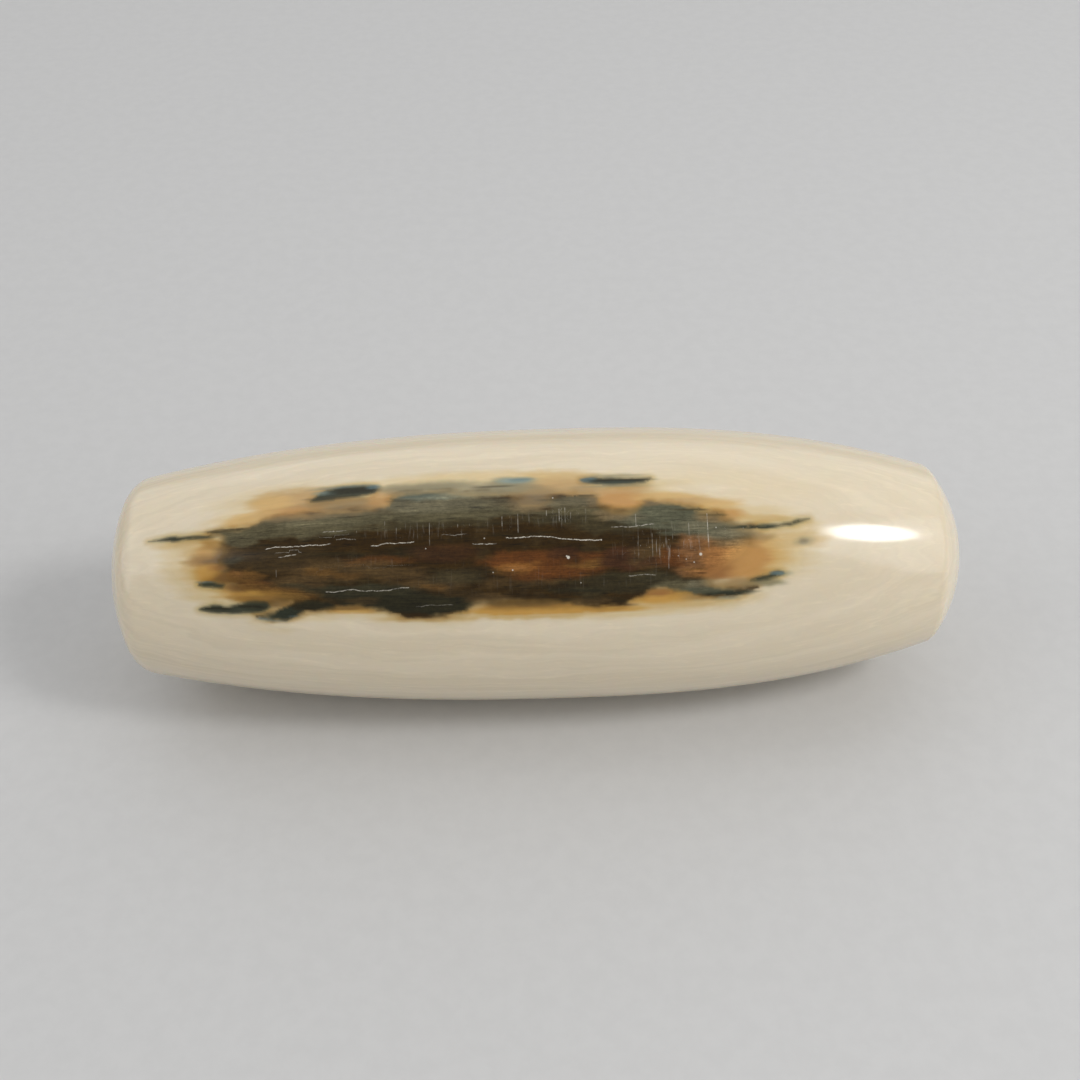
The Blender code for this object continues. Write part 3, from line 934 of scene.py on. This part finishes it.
def off_middle(skin_x, skin_turn, x, turn, length, height):
    """How far each point is from an oval's middle, with 1 on its rim."""
    return np.hypot((skin_x - x) / (length / 2), (skin_turn - turn) / (height / 2))


def edge_blur(paint):
    """Half the width of the cap's translucent edge at each point, in millimetres."""
    blur = EDGE_BLUR * (1.0 + 0.6 * paint.ripple)
    for *oval, extra in SOFT_EDGES:
        blur = blur + extra * smooth_step(1.3, 0.5, off_middle(paint.x, paint.turn, *oval))
    return np.maximum(blur, 0.05)


def painted_fields(skin, outlines):
    """Fields for the points of the skin, with the bark and its stains painted in."""
    fields = plain_fields(skin)
    window = np.flatnonzero(np.all((skin > PAINTED_LOW) & (skin < PAINTED_HIGH), axis=1))
    near = skin[window]
    small_outlines = [outline for name, outline in outlines.items() if name != "bark_cap"]
    into_cap = distance_into(near, [outlines["bark_cap"]])
    into_small = distance_into(near, small_outlines)

    paint = Painted(near, CREAM, ragged=0.6)
    cap_edge = into_cap + CAP_FEATHER * paint.feather
    small_edge = into_small + SMALL_FEATHER * paint.feather
    paint.lay(PALE_STRAW, 0.8 * smooth_step(-1.0, -0.2, cap_edge))
    paint.brush_all(IVORY_STAINS)
    paint.lay(AMBER, 0.6 * smooth_step(-0.40, 0.0, cap_edge))
    paint.brush_all(OVER_RIM)
    paint.lay(paint.colour * STAINED, 0.7 * smooth_step(-0.45, 0.0, small_edge))

    bark = Painted(near, UMBER, ragged=1.0)
    bark.lay(DARK_BROWN, smooth_step(0.1, 0.6, bark.ripple) * 0.6)
    bark.lay(GREEN_BLACK, smooth_step(0.1, 0.6, bark.fibre_ends) * 0.5)
    bark.brush_all(BARK_ZONES)
    paint.lay(bark.colour, smooth_step(-1, 1, cap_edge / edge_blur(paint)))
    paint.brush_all(CROSSING_STAINS)
    paint.lay(TEAL_BLACK, 0.9 * smooth_step(-SMALL_BLUR, SMALL_BLUR, small_edge))
    paint.brush_all(EDGE_TOUCHES)

    fields[window, 2:5] = albedo(paint.colour)
    fields[window, 5] = np.maximum(into_cap, into_small)
    return fields


# ---------------------------------------------------------------- scratches and cracks

NO_MARK = 9.0  # stands for a distance to a crack or a scratch too great to matter

# Fine cracks along the fibres, whitened by polishing wax: points as (x, turn), then strength.
CRACKS = [
    ([(-13.9, 10.5), (-13.4, 11.5), (-12.6, 11.3), (-11.6, 11.4), (-10.4, 11.7)], 1.0),
    ([(-13.2, 7.0), (-12.8, 7.2), (-12.2, 8.0)], 0.7),
    ([(-10.9, 17.0), (-10.4, 16.7), (-9.6, 17.0)], 0.4),
    ([(-10.2, 13.5), (-9.1, 13.0)], 0.4),
    ([(-8.4, 10.2), (-8.0, 10.0), (-7.5, 11.2), (-7.0, 10.6), (-6.5, 10.8), (-6.1, 11.3)], 0.9),
    ([(-4.8, 13.5), (-4.2, 13.3), (-3.4, 13.6)], 0.3),
    ([(-3.2, 9.5), (-2.6, 9.3), (-1.9, 9.4)], 0.6),
    ([(-1.5, 11.2), (-0.3, 11.5), (0.3, 11.7), (1.0, 11.0), (1.4, 10.4), (2.5, 9.7), (3.4, 9.6)], 0.9),
    ([(3.9, 14.5), (4.6, 14.2), (6.2, 15.7)], 0.5),
    ([(4.7, -5.0), (5.4, -4.6), (6.2, -4.8)], 0.4),
    ([(-10.8, -8.3), (-9.5, -7.8), (-8.5, -8.2), (-7.5, -8.0), (-6.9, -6.7), (-6.4, -6.9)], 0.65),
    ([(-6.2, -15.0), (-5.2, -14.2), (-4.2, -14.6)], 0.2),
]

# Scratches across the fibres: x, lowest turn, highest turn, strength.
SCRATCHES = [
    (-9.10, 15.5, 17.0, 0.5), (-7.65, 18.0, 20.5, 0.6), (-7.05, 14.0, 17.5, 0.4),
    (-5.35, 9.0, 19.0, 0.45), (-3.90, 16.0, 18.0, 0.5), (-3.30, 16.5, 18.0, 0.4),
    (-1.63, 15.5, 20.5, 0.7), (-0.82, 13.0, 21.5, 0.6), (0.65, 19.5, 22.5, 0.6),
    (1.30, 17.0, 23.0, 1.0), (1.60, 16.5, 23.5, 0.7), (1.88, 18.0, 21.5, 0.7),
    (2.65, 20.0, 23.0, 0.4), (5.20, 14.0, 20.0, 0.7), (7.90, 10.0, 16.0, 0.6),
    (8.87, 7.0, 20.0, 1.0), (10.70, 10.0, 14.0, 0.6), (-13.3, -2.0, 2.0, 0.3),
    (6.0, 2.0, 12.0, 0.4), (6.8, -3.0, 7.0, 0.4),
]

# Chips and dust: x, turn, radius in mm, strength.
SPECKS = [
    (1.70, 3.0, 0.10, 1.0), (1.62, 3.5, 0.06, 0.8), (8.45, 2.8, 0.10, 0.9), (-1.15, -1.3, 0.05, 1.0),
    (-2.15, -2.0, 0.04, 0.7), (2.30, -7.0, 0.04, 0.6), (8.10, -0.3, 0.05, 0.7), (7.70, 1.0, 0.04, 0.6),
    (7.30, 2.4, 0.04, 0.5), (9.30, 13.5, 0.05, 0.5), (-2.55, 11.5, 0.05, 0.6), (3.40, 9.5, 0.05, 0.8),
    (-10.3, 17.0, 0.05, 0.5), (-5.55, 8.2, 0.04, 0.8), (1.0, 27.5, 0.05, 0.7), (13.3, -2.5, 0.07, 0.7),
    (-9.5, -16.5, 0.04, 0.8),
]

# Where fine hairline scratches and grit show: x, turn, length, height, strength.
WORN_PLACES = [
    (6.8, 7.0, 5.6, 18.0, 1.0),
    (-5.0, 15.5, 9.0, 8.0, 0.38),
    (1.0, 19.0, 5.0, 8.0, 0.42),
    (-9.0, 3.0, 9.0, 8.0, 0.16),
    (0.0, -4.0, 24.0, 16.0, 0.12),
]


def wear_field(skin):
    """How worn the polish is at each point, from 0 to 1."""
    wear = np.zeros(len(skin))
    for *oval, strength in WORN_PLACES:
        far = off_middle(skin[:, 0], skin[:, 1] / SKIN_SCALE, *oval)
        wear = np.maximum(wear, strength * smooth_step(1.2, 0.4, far))
    return wear


def keep_nearer(marks, offset, room, strength):
    """Write a mark over the ones kept so far, at the points that it is nearer to."""
    gap = np.abs(offset) + np.maximum(-room, 0)
    known = np.abs(marks[:, 0]) + np.maximum(-marks[:, 1], 0)
    closer = gap < known
    marks[closer] = np.stack([offset, room, np.full(len(marks), strength)], axis=1)[closer]


def mark_fields(skin):
    """For each point the nearest crack or scratch, as (millimetres off it, room to its end, strength)."""
    x, s = skin[:, 0], skin[:, 1]
    cracks = np.tile((NO_MARK, -NO_MARK, 0.0), (len(skin), 1))
    scratches = cracks.copy()
    for points, strength in CRACKS:
        line_x, line_turn = np.transpose(points)
        height = np.interp(x, line_x, line_turn * SKIN_SCALE)
        keep_nearer(cracks, s - height, np.minimum(x - line_x[0], line_x[-1] - x), strength)
    for middle, low, high, strength in SCRATCHES:
        room = np.minimum(s - low * SKIN_SCALE, high * SKIN_SCALE - s)
        keep_nearer(scratches, x - middle, room, strength)
    return np.clip(cracks, -NO_MARK, NO_MARK), np.clip(scratches, -NO_MARK, NO_MARK)


def write_attributes(piece, points, fields):
    """Give the piece what its material reads: its skin coordinates, painted colour, layers and marks."""
    mesh = piece.data
    count = len(points)
    skin = fields[:, :2]
    bark_side = radians(BARK_ELEVATION)
    towards_bark = np.array([0.0, -cos(bark_side), sin(bark_side)])
    layer_height = (points - np.array([0.0, 0.0, AXIS_HEIGHT])) @ towards_bark
    cracks, scratches = mark_fields(skin)

    def store(name, kind, slot, values):
        layer = mesh.attributes.new(name, kind, "POINT")
        layer.data.foreach_set(slot, np.ascontiguousarray(values, np.float32).ravel())

    store("skin", "FLOAT_VECTOR", "vector", np.column_stack([skin, np.zeros(count)]))
    store("tone", "FLOAT_COLOR", "color", np.column_stack([fields[:, 2:5], np.ones(count)]))
    store("crack", "FLOAT_VECTOR", "vector", cracks)
    store("scratch", "FLOAT_VECTOR", "vector", scratches)
    store("wear", "FLOAT", "value", wear_field(skin))
    store("layer_height", "FLOAT", "value", layer_height)
    store("into_bark", "FLOAT", "value", fields[:, 5])


# ---------------------------------------------------------------- materials

TUSK_IOR = 1.54
WARM_LAYER = (1.0, 0.96, 0.86, 1.0)  # what the ivory's darker growth layers leave of its colour
WAX = (0.72, 0.67, 0.57, 1.0)  # pale polishing wax in the cracks and scratches
CRACK_HALF_WIDTH = 0.034
SCRATCH_HALF_WIDTH = 0.028
LINE_END_FADE = 0.12  # how far from its end a crack or a scratch is at full strength
EDGE_FADE = 0.45  # how far into the bark its fibres are at full strength
FLOOR_COLOUR = (0.64, 0.64, 0.64)


def connect(tree, socket, value):
    """Feed a socket from another socket, or set it to a value."""
    if isinstance(value, bpy.types.NodeSocket):
        tree.links.new(value, socket)
    else:
        socket.default_value = value


def add_node(tree, kind, inputs=None, **settings):
    """A node with its settings, and its inputs by name or number."""
    made = tree.nodes.new(kind)
    for key, value in settings.items():
        setattr(made, key, value)
    for key, value in (inputs or {}).items():
        connect(tree, made.inputs[key], value)
    return made


def attribute(tree, name, output="Vector"):
    """A field stored on the mesh."""
    return add_node(tree, "ShaderNodeAttribute", attribute_name=name).outputs[output]


def math_node(tree, operation, *values):
    """A Math node's result; with more than two values, each further one takes another node."""
    made = add_node(tree, "ShaderNodeMath", dict(enumerate(values[:2])), operation=operation)
    result = made.outputs[0]
    return math_node(tree, operation, result, *values[2:]) if len(values) > 2 else result


def remap(tree, value, low, high, to_low=0.0, to_high=1.0, interpolation="SMOOTHSTEP"):
    """A value mapped from one range to another, as a smooth step or as named, and kept inside it."""
    inputs = {"Value": value, "From Min": low, "From Max": high, "To Min": to_low, "To Max": to_high}
    made = add_node(tree, "ShaderNodeMapRange", inputs, interpolation_type=interpolation)
    return made.outputs["Result"]


def evenly(tree, value, low, high, to_low, to_high):
    """A value mapped from one range to another along a straight line, and kept inside it."""
    return remap(tree, value, low, high, to_low, to_high, "LINEAR")


def grain(tree, vector, scale, detail=4.0, roughness=0.6):
    """Noise from 0 to 1, with that many features to a millimetre along each axis."""
    stretched = add_node(tree, "ShaderNodeVectorMath", {0: vector, 1: scale}, operation="MULTIPLY")
    inputs = {"Vector": stretched.outputs[0], "Scale": 1.0, "Detail": detail, "Roughness": roughness}
    return add_node(tree, "ShaderNodeTexNoise", inputs).outputs["Fac"]


def mixed(tree, share, below, above, blend="MIX"):
    """One colour over another."""
    inputs = {"Factor": share, 6: below, 7: above}
    return add_node(tree, "ShaderNodeMix", inputs, data_type="RGBA", blend_type=blend).outputs[2]


def brightened(tree, colour, factor):
    """A colour times a factor."""
    inputs = {0: colour, "Scale": factor}
    return add_node(tree, "ShaderNodeVectorMath", inputs, operation="SCALE").outputs[0]


def new_material(name):
    """A material with its tree and its Principled shader."""
    material = bpy.data.materials.new(name)
    material.use_nodes = True
    tree = material.node_tree
    return material, tree, tree.nodes["Principled BSDF"]


def bump(tree, height, strength, distance):
    """A normal from a height field; the distance is in millimetres."""
    inputs = {"Height": height, "Strength": strength, "Distance": distance * MM}
    return add_node(tree, "ShaderNodeBump", inputs).outputs["Normal"]


def ivory_material():
    """Polished mammoth ivory: cream, with growth layers that show as contours, and faint long fibres."""
    material, tree, shader = new_material("polished_ivory")
    skin = attribute(tree, "skin")
    x = add_node(tree, "ShaderNodeSeparateXYZ", {0: skin}).outputs["X"]
    wander = evenly(tree, grain(tree, skin, (0.16, 0.5, 1.0)), 0.25, 0.75, -0.35, 0.35)
    layer = math_node(tree, "ADD", attribute(tree, "layer_height", "Fac"), wander)

    layer_place = add_node(tree, "ShaderNodeCombineXYZ", {"X": x, "Y": layer}).outputs[0]
    broad = evenly(tree, grain(tree, layer_place, (0.05, 1.5, 1.0), 2.0), 0.3, 0.7, 0.95, 1.03)
    narrow = evenly(tree, grain(tree, layer_place, (0.10, 6.0, 1.0), 3.0), 0.3, 0.7, 0.955, 1.02)
    flecks = remap(tree, grain(tree, skin, (0.7, 3.2, 1.0), 4.0), 0.52, 0.72, 1.0, 1.05)
    factor = math_node(tree, "MULTIPLY", broad, narrow, flecks)

    warmth = evenly(tree, broad, 0.95, 1.03, 0.30, 0.0)
    tone = mixed(tree, warmth, attribute(tree, "tone", "Color"), WARM_LAYER, "MULTIPLY")
    tree.links.new(brightened(tree, tone, factor), shader.inputs["Base Color"])

    polish = grain(tree, skin, (1.5, 9.0, 1.0), 3.0)
    tree.links.new(remap(tree, polish, 0.3, 0.75, 0.10, 0.17), shader.inputs["Roughness"])
    tree.links.new(bump(tree, polish, 0.12, 0.004), shader.inputs["Normal"])
    shader.inputs["IOR"].default_value = TUSK_IOR
    shader.inputs["Subsurface Weight"].default_value = 0.30
    shader.inputs["Subsurface Radius"].default_value = (1.0, 0.55, 0.28)
    shader.inputs["Subsurface Scale"].default_value = 0.7 * MM
    return material


def line_mask(tree, field, wobble, half_width):
    """A fine line along a stored mark: 1 on it, 0 off it, and its strength in between."""
    parts = add_node(tree, "ShaderNodeSeparateXYZ", {0: field}).outputs
    offset = math_node(tree, "ABSOLUTE", math_node(tree, "ADD", parts["X"], wobble))
    line = remap(tree, offset, half_width, half_width * 0.3)
    ending = remap(tree, parts["Y"], 0.0, LINE_END_FADE)
    return math_node(tree, "MULTIPLY", line, ending, parts["Z"])


def specks_mask(tree, skin):
    """The listed chips and dust as small dots."""
    dots = []
    for x, turn, radius, strength in SPECKS:
        place = {0: skin, 1: (x, turn * SKIN_SCALE, 0.0)}
        gap = add_node(tree, "ShaderNodeVectorMath", place, operation="DISTANCE").outputs["Value"]
        dots.append(remap(tree, gap, radius, radius * 0.45, 0.0, strength))
    return math_node(tree, "MAXIMUM", *dots)


def bark_material():
    """Polished tusk bark: dark, fibrous and mineral-stained, with waxed cracks, scratches and specks."""
    material, tree, shader = new_material("polished_bark")
    skin = attribute(tree, "skin")

    long_fibres = grain(tree, skin, (0.30, 5.0, 1.0), 5.0, 0.65)
    fine_fibres = grain(tree, skin, (0.9, 16.0, 1.0))
    clouds = grain(tree, skin, (0.55, 1.6, 1.0))
    mottle = grain(tree, skin, (3.6, 7.0, 3.0), 5.0, 0.75)
    seams = grain(tree, skin, (0.45, 6.0, 4.0), 4.0, 0.65)
    factor = math_node(
        tree,
        "MULTIPLY",
        evenly(tree, long_fibres, 0.28, 0.72, 0.70, 1.30),
        evenly(tree, fine_fibres, 0.28, 0.72, 0.80, 1.20),
        evenly(tree, clouds, 0.3, 0.7, 0.72, 1.28),
        evenly(tree, mottle, 0.3, 0.7, 0.68, 1.32),
        remap(tree, seams, 0.57, 0.70, 1.0, 0.5),
    )
    deep = remap(tree, attribute(tree, "into_bark", "Fac"), 0.0, EDGE_FADE)
    factor = evenly(tree, deep, 0.0, 1.0, 1.0, factor)
    tone = brightened(tree, attribute(tree, "tone", "Color"), factor)

    wobble = evenly(tree, grain(tree, skin, (1.7, 0.7, 1.0), 4.0), 0.25, 0.75, -0.07, 0.07)
    broken = remap(tree, grain(tree, skin, (4.5, 1.5, 1.0), 5.0, 0.8), 0.38, 0.58, 0.16, 1.0)
    patchy = remap(tree, grain(tree, skin, (1.0, 3.0, 9.0), 3.0), 0.35, 0.6, 0.16, 0.6)
    cracks = line_mask(tree, attribute(tree, "crack"), wobble, CRACK_HALF_WIDTH)
    cracks = math_node(tree, "MULTIPLY", cracks, broken)
    scratches = line_mask(tree, attribute(tree, "scratch"), 0.0, SCRATCH_HALF_WIDTH)
    scratches = math_node(tree, "MULTIPLY", scratches, patchy)

    wear = attribute(tree, "wear", "Fac")
    hairs = remap(tree, grain(tree, skin, (9.0, 0.7, 7.0), 3.0, 0.7), 0.56, 0.70, 0.0, 0.27)
    grit = remap(tree, grain(tree, skin, (11.0, 11.0, 2.0), 2.0, 0.5), 0.68, 0.76, 0.0, 0.36)
    worn = math_node(tree, "MULTIPLY", math_node(tree, "MAXIMUM", hairs, grit), wear)
    marks = math_node(tree, "MAXIMUM", worn, scratches, cracks, specks_mask(tree, skin))
    tree.links.new(mixed(tree, marks, tone, WAX), shader.inputs["Base Color"])

    roughness = remap(tree, fine_fibres, 0.3, 0.7, 0.12, 0.20)
    roughness = math_node(tree, "ADD", roughness, math_node(tree, "MULTIPLY", marks, 0.4))
    tree.links.new(roughness, shader.inputs["Roughness"])
    height = math_node(tree, "SUBTRACT", long_fibres, math_node(tree, "MULTIPLY", cracks, 0.8))
    tree.links.new(bump(tree, height, 0.25, 0.006), shader.inputs["Normal"])
    shader.inputs["IOR"].default_value = TUSK_IOR
    shader.inputs["Specular IOR Level"].default_value = 0.30
    return material


# ---------------------------------------------------------------- the bead


def build_bead():
    """Make every visible piece, ride it on the bead's body, and let it stand for its CAD node."""
    outlines = bark_outlines()
    skin, triangles = triangulated(outlines)
    triangles = joined_at_seam(skin, triangles)
    regions = split_regions(skin, triangles, outlines)
    radius, slope = side_profile(skin[:, 0])
    points, normals = on_barrel(skin[:, 0], skin[:, 1] / SKIN_SCALE, radius, slope)
    depth = bark_depths(skin, outlines)
    fields = painted_fields(skin, outlines)

    ivory = ivory_material()
    bark = bark_material()
    body = ivory_body(skin, points, normals, fields, depth, regions)
    finish_piece(body, "ivory_body", ivory)
    for name in outlines:
        piece = bark_piece(name, points, normals, fields, depth, regions[name])
        finish_piece(piece, name, bark)


def finish_piece(piece, node, material):
    """Name a piece, give it its material, and tie it to the CAD node that it stands for."""
    piece.name = "polished_" + node
    piece.data.materials.append(material)
    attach(piece, "root")
    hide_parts(node)


# ---------------------------------------------------------------- studio


def floor_material():
    """Plain pale card."""
    material, tree, shader = new_material("pale_floor")
    place = add_node(tree, "ShaderNodeTexCoord").outputs["Object"]
    tooth = grain(tree, place, (900.0, 900.0, 900.0), 3.0)
    shade = remap(tree, tooth, 0.3, 0.7, 0.97, 1.0)
    tree.links.new(brightened(tree, FLOOR_COLOUR, shade), shader.inputs["Base Color"])
    shader.inputs["Roughness"].default_value = 0.7
    return material


def build_floor():
    """A wide pale floor under the bead."""
    half = FLOOR_WIDTH / 2
    mesh = bpy.data.meshes.new("floor")
    corners = [(-half, -half, 0), (half, -half, 0), (half, half, 0), (-half, half, 0)]
    mesh.from_pydata(corners, [], [(0, 1, 2, 3)])
    mesh.materials.append(floor_material())
    floor = bpy.data.objects.new("floor", mesh)
    bpy.context.scene.collection.objects.link(floor)


def softbox(name, direction, distance, size, energy, colour=(1.0, 1.0, 1.0), shape="RECTANGLE"):
    """A light that looks at the bead from a direction; lengths in metres."""
    light = bpy.data.lights.new(name, "AREA")
    light.shape = shape
    light.size, light.size_y = size
    light.energy = energy
    light.color = colour
    made = bpy.data.objects.new(name, light)
    aim = Vector((0, 0, AXIS_HEIGHT * MM))
    towards = Vector(direction).normalized()
    made.location = aim + towards * distance
    made.rotation_euler = towards.to_track_quat("Z", "Y").to_euler()
    bpy.context.scene.collection.objects.link(made)


def build_lights():
    """A small key from the upper right, large soft fills off to the sides and behind, and a pale room."""
    softbox("key", (0.640, -0.310, 0.703), 0.30, (0.072, 0.078), 0.24, (1.0, 0.99, 0.97), "ELLIPSE")
    softbox("left_fill", (-0.95, -0.25, 0.60), 0.60, (0.50, 0.50), 0.8)
    softbox("right_fill", (0.92, -0.40, 0.55), 0.60, (0.45, 0.45), 1.0)
    softbox("top", (0.0, 0.60, 0.80), 0.60, (1.40, 0.90), 2.0)
    world = bpy.data.worlds.new("room")
    world.use_nodes = True
    background = world.node_tree.nodes["Background"]
    background.inputs["Color"].default_value = (1.0, 1.0, 1.0, 1.0)
    background.inputs["Strength"].default_value = 0.30
    bpy.context.scene.world = world


def build_camera():
    """A 50 mm camera above the front, turned a little so that the bead's right-hand end rises."""
    camera_data = bpy.data.cameras.new("camera")
    camera_data.lens = 50
    camera_data.sensor_width = 36
    camera_data.clip_start = 0.005
    camera = bpy.data.objects.new("camera", camera_data)
    up = radians(CAMERA_ELEVATION)
    back = Vector((0, -cos(up), sin(up)))
    camera.location = (Vector(CAMERA_AIM) + back * CAMERA_DISTANCE) * MM
    camera.rotation_mode = "ZYX"
    camera.rotation_euler = (pi / 2 - up, 0, -radians(CAMERA_ROLL))
    bpy.context.scene.collection.objects.link(camera)
    bpy.context.scene.camera = camera


build_bead()
build_floor()
build_lights()
build_camera()
bpy.context.scene.view_settings.view_transform = "Standard"
